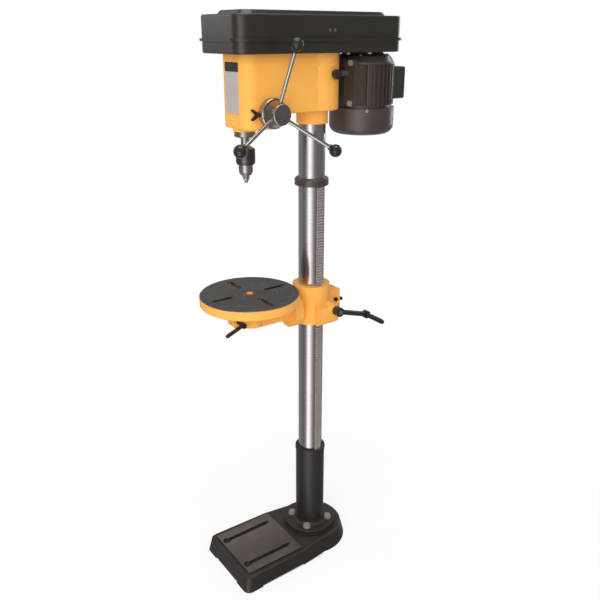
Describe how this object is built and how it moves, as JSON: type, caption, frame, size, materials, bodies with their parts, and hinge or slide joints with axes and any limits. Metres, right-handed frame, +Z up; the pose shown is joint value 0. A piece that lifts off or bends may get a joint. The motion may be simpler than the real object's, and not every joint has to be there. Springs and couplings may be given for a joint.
{
  "type": "drill press",
  "caption": "Floor-standing drill press: a head with quill, chuck and turning feed handles on a round column, with a cranked tilting round table and a slotted base.",
  "frame": {"origin": "the column's axis at floor level, on the underside of the base", "axes": "+Z up, -Y towards the operator and the spindle, +X the operator's right, where the feed handles are"},
  "size_m": [0.303, 0.6255, 1.564],
  "materials": {
    "yellow_paint": "semi-gloss powder coat",
    "black_paint": "semi-gloss paint",
    "dark_casting": "satin oil-dark",
    "machined_iron": "ground",
    "ground_steel": "ground and polished",
    "bright_steel": "bright",
    "zinc_steel": "zinc plated",
    "cast_aluminium": "turned",
    "black_plastic": "gloss",
    "matte_black": "matte",
    "belt_rubber": "matte",
    "green_button": "gloss",
    "red_button": "gloss"
  },
  "bodies": {
    "frame": {"base_casting": "black_paint", "column_support": "black_paint", "support_bolts": "zinc_steel", "column_tube": "ground_steel", "rack_collar": "black_paint", "set_screws": "zinc_steel", "head_casting": "yellow_paint", "guard_pan": "black_paint", "pan_bolts": "zinc_steel", "hinge_pins": "zinc_steel", "pulley_bearings": "bright_steel", "idler_arm": "dark_casting", "belt_front": "belt_rubber", "belt_rear": "belt_rubber", "spring_housing": "cast_aluminium", "return_spring": "ground_steel", "switch_box": "matte_black"},
    "rack_ring": {"table_rack": "ground_steel"},
    "bracket": {"table_bracket": "yellow_paint"},
    "arm": {"table_arm": "yellow_paint", "tilt_bolt": "zinc_steel"},
    "table": {"work_table": "machined_iron"},
    "table_clamp": {"table_clamp_lever": "black_paint"},
    "column_clamp": {"column_clamp_lever": "black_paint"},
    "crank": {"worm_shaft": "ground_steel", "crank_arm": "black_paint"},
    "grip": {"crank_grip": "black_plastic"},
    "pinion": {"pinion_shaft": "ground_steel"},
    "lid": {"guard_lid": "black_paint"},
    "quill": {"quill": "ground_steel", "quill_bearings": "bright_steel"},
    "spindle": {"spindle": "ground_steel", "chuck_body": "bright_steel"},
    "sleeve": {"chuck_sleeve": "dark_casting"},
    "jaw_1": {"chuck_jaw_1": "bright_steel"},
    "jaw_2": {"chuck_jaw_2": "bright_steel"},
    "jaw_3": {"chuck_jaw_3": "bright_steel"},
    "feed": {"feed_shaft": "ground_steel", "feed_hub": "ground_steel", "feed_rods": "bright_steel", "feed_knobs": "black_plastic"},
    "depth_ring": {"depth_ring": "cast_aluminium"},
    "depth_screw": {"depth_lock_screw": "black_paint"},
    "drive": {"spindle_pulley": "cast_aluminium", "drive_sleeve": "ground_steel"},
    "idler": {"idler_pulley": "cast_aluminium"},
    "motor": {"motor_plate": "black_paint", "slide_bars": "ground_steel", "motor_housing": "black_paint", "motor_end_bell": "black_paint", "fan_cover": "black_paint", "terminal_box": "matte_black", "cable_gland": "matte_black", "motor_bolts": "zinc_steel"},
    "rotor": {"motor_shaft": "ground_steel", "motor_pulley": "cast_aluminium", "motor_fan": "matte_black"},
    "tension_knob": {"tension_knob": "black_plastic"},
    "start_button": {"start_button": "green_button"},
    "stop_button": {"stop_button": "red_button"}
  },
  "joints": [
    {"name": "table_swing", "type": "hinge", "parent": "frame", "child": "rack_ring", "pos_m": [0, 0, 0.8], "axis": [0, 0, 1], "continuous": true},
    {"name": "table_crank", "type": "hinge", "parent": "bracket", "child": "crank", "pos_m": [0, 0.024, 0.798], "axis": [1, 0, 0], "range_deg": [-25059, 15280]},
    {"name": "table_lift", "type": "slide", "parent": "rack_ring", "child": "bracket", "axis": [0, 0, 1], "range_m": [-0.41, 0.25]},
    {"name": "pinion_turn", "type": "hinge", "parent": "bracket", "child": "pinion", "pos_m": [0.05555, 0, 0.774], "axis": [0, 1, 0], "range_deg": [-956, 1568]},
    {"name": "grip_spin", "type": "hinge", "parent": "crank", "child": "grip", "pos_m": [0.113, 0.122, 0.768], "axis": [1, 0, 0], "continuous": true},
    {"name": "table_tilt", "type": "hinge", "parent": "bracket", "child": "arm", "pos_m": [0, -0.07, 0.796], "axis": [0, 1, 0], "range_deg": [-45, 45]},
    {"name": "table_spin", "type": "hinge", "parent": "arm", "child": "table", "pos_m": [0, -0.2025, 0.786], "axis": [0, 0, 1], "continuous": true},
    {"name": "table_clamp_turn", "type": "hinge", "parent": "arm", "child": "table_clamp", "pos_m": [0, -0.25, 0.806], "axis": [1, 0, 0], "range_deg": [-60, 60]},
    {"name": "column_clamp_turn", "type": "hinge", "parent": "bracket", "child": "column_clamp", "pos_m": [0, 0.073, 0.8], "axis": [1, 0, 0], "range_deg": [0, 90]},
    {"name": "lid_hinge", "type": "hinge", "parent": "frame", "child": "lid", "pos_m": [-0.1075, 0, 1.50015], "axis": [0, -1, 0], "range_deg": [0, 100]},
    {"name": "feed_turn", "type": "hinge", "parent": "frame", "child": "feed", "pos_m": [0, -0.166, 1.338], "axis": [-1, 0, 0], "range_deg": [-381.9, 0], "stiffness_Nm_per_rad": 0.12, "springref_deg": 286.48},
    {"name": "quill_feed", "type": "slide", "parent": "frame", "child": "quill", "axis": [0, 0, 1], "range_m": [-0.08, 0]},
    {"name": "depth_ring_turn", "type": "hinge", "parent": "feed", "child": "depth_ring", "pos_m": [0.0625, -0.166, 1.338], "axis": [1, 0, 0], "range_deg": [0, 330]},
    {"name": "depth_screw_turn", "type": "hinge", "parent": "depth_ring", "child": "depth_screw", "pos_m": [0.074, -0.2015, 1.338], "axis": [0, -1, 0], "range_deg": [-180, 180]},
    {"name": "motor_spin", "type": "hinge", "parent": "motor", "child": "rotor", "pos_m": [0, 0.165, 1.4], "axis": [0, 0, 1], "continuous": true},
    {"name": "idler_spin", "type": "hinge", "parent": "frame", "child": "idler", "pos_m": [0, -0.02, 1.5], "axis": [0, 0, 1], "continuous": true},
    {"name": "drive_spin", "type": "hinge", "parent": "frame", "child": "drive", "pos_m": [0, -0.2025, 1.5], "axis": [0, 0, 1], "continuous": true},
    {"name": "spindle_spin", "type": "hinge", "parent": "quill", "child": "spindle", "pos_m": [0, -0.2025, 1.35], "axis": [0, 0, 1], "continuous": true},
    {"name": "motor_slide", "type": "slide", "parent": "frame", "child": "motor", "axis": [0, 1, 0], "range_m": [-0.012, 0]},
    {"name": "tension_turn", "type": "hinge", "parent": "frame", "child": "tension_knob", "pos_m": [0.06, 0.0205, 1.42], "axis": [1, 0, 0], "range_deg": [-360, 360]},
    {"name": "chuck_turn", "type": "hinge", "parent": "spindle", "child": "sleeve", "pos_m": [0, -0.2025, 1.23], "axis": [0, 0, 1], "range_deg": [0, 4680]},
    {"name": "jaw_1_slide", "type": "slide", "parent": "spindle", "child": "jaw_1", "axis": [0, 0.2079, 0.9781], "range_m": [0, 0.032]},
    {"name": "jaw_2_slide", "type": "slide", "parent": "spindle", "child": "jaw_2", "axis": [-0.1801, -0.104, 0.9781], "range_m": [0, 0.032]},
    {"name": "jaw_3_slide", "type": "slide", "parent": "spindle", "child": "jaw_3", "axis": [0.1801, -0.104, 0.9781], "range_m": [0, 0.032]},
    {"name": "start_press", "type": "slide", "parent": "frame", "child": "start_button", "axis": [1, 0, 0], "range_m": [0, 0.003], "stiffness_N_per_m": 400, "springref_m": -0.002},
    {"name": "stop_press", "type": "slide", "parent": "frame", "child": "stop_button", "axis": [1, 0, 0], "range_m": [0, 0.003], "stiffness_N_per_m": 400, "springref_m": -0.002}
  ],
  "couplings": [
    {"joint": "table_crank", "follows": "table_lift", "rad_per_m": 1066.7},
    {"joint": "pinion_turn", "follows": "table_lift", "rad_per_m": -66.667},
    {"joint": "quill_feed", "follows": "feed_turn", "m_per_rad": 0.012},
    {"joint": "idler_spin", "follows": "motor_spin", "ratio": 1},
    {"joint": "drive_spin", "follows": "motor_spin", "ratio": 0.58621},
    {"joint": "spindle_spin", "follows": "motor_spin", "ratio": 0.58621},
    {"joint": "jaw_1_slide", "follows": "chuck_turn", "m_per_rad": 0.0003917},
    {"joint": "jaw_2_slide", "follows": "chuck_turn", "m_per_rad": 0.0003917},
    {"joint": "jaw_3_slide", "follows": "chuck_turn", "m_per_rad": 0.0003917}
  ]
}
